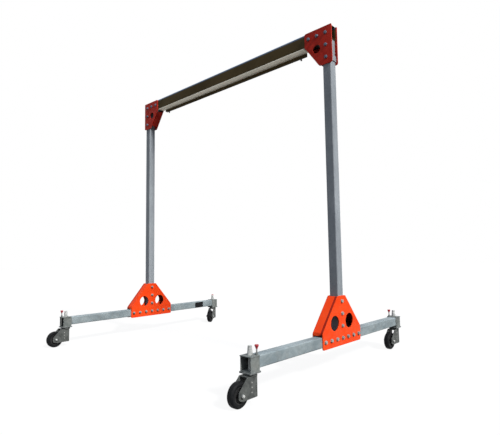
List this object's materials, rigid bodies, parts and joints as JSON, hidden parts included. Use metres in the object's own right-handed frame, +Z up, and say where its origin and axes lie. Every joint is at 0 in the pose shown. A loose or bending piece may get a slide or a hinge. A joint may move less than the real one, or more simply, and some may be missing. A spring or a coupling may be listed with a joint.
{
  "type": "portable gantry crane",
  "caption": "Free-standing portal of square steel tube on swivel casters: a hollow top beam bolted to posts by corner plates, and base beams braced by wide foot plates.",
  "frame": {"origin": "middle of the whole outline on the floor; the portal's own middle stands 69.75 mm behind it because the front wheels trail forward", "axes": "+X along the top beam to the right, +Y along the base beams to the rear, +Z up"},
  "size_m": [2.82, 2.3485, 2.896],
  "materials": {
    "galvanised": "dull zinc coating",
    "beam_paint": "dark olive-brown paint",
    "orange_paint": "satin orange paint",
    "red_paint": "satin red paint",
    "zinc": "bright zinc plate",
    "fork_steel": "grey pressed steel",
    "hub": "grey moulded core",
    "tyre": "black solid rubber",
    "knob": "dark red moulded knob"
  },
  "bodies": {
    "portal": {"top_beam": "beam_paint", "running_strip": "galvanised", "cable_rail": "galvanised", "rail_stops": "zinc", "right_post": "galvanised", "left_post": "galvanised", "right_base_beam": "galvanised", "left_base_beam": "galvanised", "right_foot_outer_plate": "orange_paint", "left_foot_outer_plate": "orange_paint", "right_foot_inner_pan": "orange_paint", "left_foot_inner_pan": "orange_paint", "right_corner_front_plate": "red_paint", "left_corner_front_plate": "red_paint", "right_corner_rear_pan": "red_paint", "left_corner_rear_pan": "red_paint", "right_tie_bar": "galvanised", "left_tie_bar": "galvanised", "right_caster_housings": "galvanised", "left_caster_housings": "galvanised", "right_caster_plates": "zinc", "left_caster_plates": "zinc", "right_kingpins": "zinc", "left_kingpins": "zinc"},
    "front_right_caster": {"front_right_fork": "fork_steel", "front_right_axle": "zinc"},
    "front_right_wheel": {"front_right_hub": "hub", "front_right_tyre": "tyre"},
    "front_right_index": {"front_right_plunger": "knob"},
    "rear_right_caster": {"rear_right_fork": "fork_steel", "rear_right_axle": "zinc"},
    "rear_right_wheel": {"rear_right_hub": "hub", "rear_right_tyre": "tyre"},
    "rear_right_index": {"rear_right_plunger": "knob"},
    "front_left_caster": {"front_left_fork": "fork_steel", "front_left_axle": "zinc"},
    "front_left_wheel": {"front_left_hub": "hub", "front_left_tyre": "tyre"},
    "front_left_index": {"front_left_plunger": "knob"},
    "rear_left_caster": {"rear_left_fork": "fork_steel", "rear_left_axle": "zinc"},
    "rear_left_wheel": {"rear_left_hub": "hub", "rear_left_tyre": "tyre"},
    "rear_left_index": {"rear_left_plunger": "knob"}
  },
  "joints": [
    {"name": "front_right_swivel", "type": "hinge", "parent": "portal", "child": "front_right_caster", "pos_m": [1.35, -0.98225, 0.175], "axis": [0, 0, 1], "continuous": true},
    {"name": "front_right_roll", "type": "hinge", "parent": "front_right_caster", "child": "front_right_wheel", "pos_m": [1.35, -1.09425, 0.08], "axis": [1, 0, 0], "continuous": true},
    {"name": "front_right_plunger_lift", "type": "slide", "parent": "portal", "child": "front_right_index", "axis": [0, 0, 1], "range_m": [0, 0.012], "stiffness_N_per_m": 800, "springref_m": -0.004},
    {"name": "rear_right_swivel", "type": "hinge", "parent": "portal", "child": "rear_right_caster", "pos_m": [1.35, 1.12175, 0.175], "axis": [0, 0, 1], "continuous": true},
    {"name": "rear_right_roll", "type": "hinge", "parent": "rear_right_caster", "child": "rear_right_wheel", "pos_m": [1.35, 1.00975, 0.08], "axis": [1, 0, 0], "continuous": true},
    {"name": "rear_right_plunger_lift", "type": "slide", "parent": "portal", "child": "rear_right_index", "axis": [0, 0, 1], "range_m": [0, 0.012], "stiffness_N_per_m": 800, "springref_m": -0.004},
    {"name": "front_left_swivel", "type": "hinge", "parent": "portal", "child": "front_left_caster", "pos_m": [-1.35, -0.98225, 0.175], "axis": [0, 0, 1], "continuous": true},
    {"name": "front_left_roll", "type": "hinge", "parent": "front_left_caster", "child": "front_left_wheel", "pos_m": [-1.35, -1.09425, 0.08], "axis": [1, 0, 0], "continuous": true},
    {"name": "front_left_plunger_lift", "type": "slide", "parent": "portal", "child": "front_left_index", "axis": [0, 0, 1], "range_m": [0, 0.012], "stiffness_N_per_m": 800, "springref_m": -0.004},
    {"name": "rear_left_swivel", "type": "hinge", "parent": "portal", "child": "rear_left_caster", "pos_m": [-1.35, 1.12175, 0.175], "axis": [0, 0, 1], "continuous": true},
    {"name": "rear_left_roll", "type": "hinge", "parent": "rear_left_caster", "child": "rear_left_wheel", "pos_m": [-1.294, 1.02476, 0.08], "axis": [0.866, 0.5, 0], "continuous": true},
    {"name": "rear_left_plunger_lift", "type": "slide", "parent": "portal", "child": "rear_left_index", "axis": [0, 0, 1], "range_m": [0, 0.012], "stiffness_N_per_m": 800, "springref_m": -0.004}
  ]
}
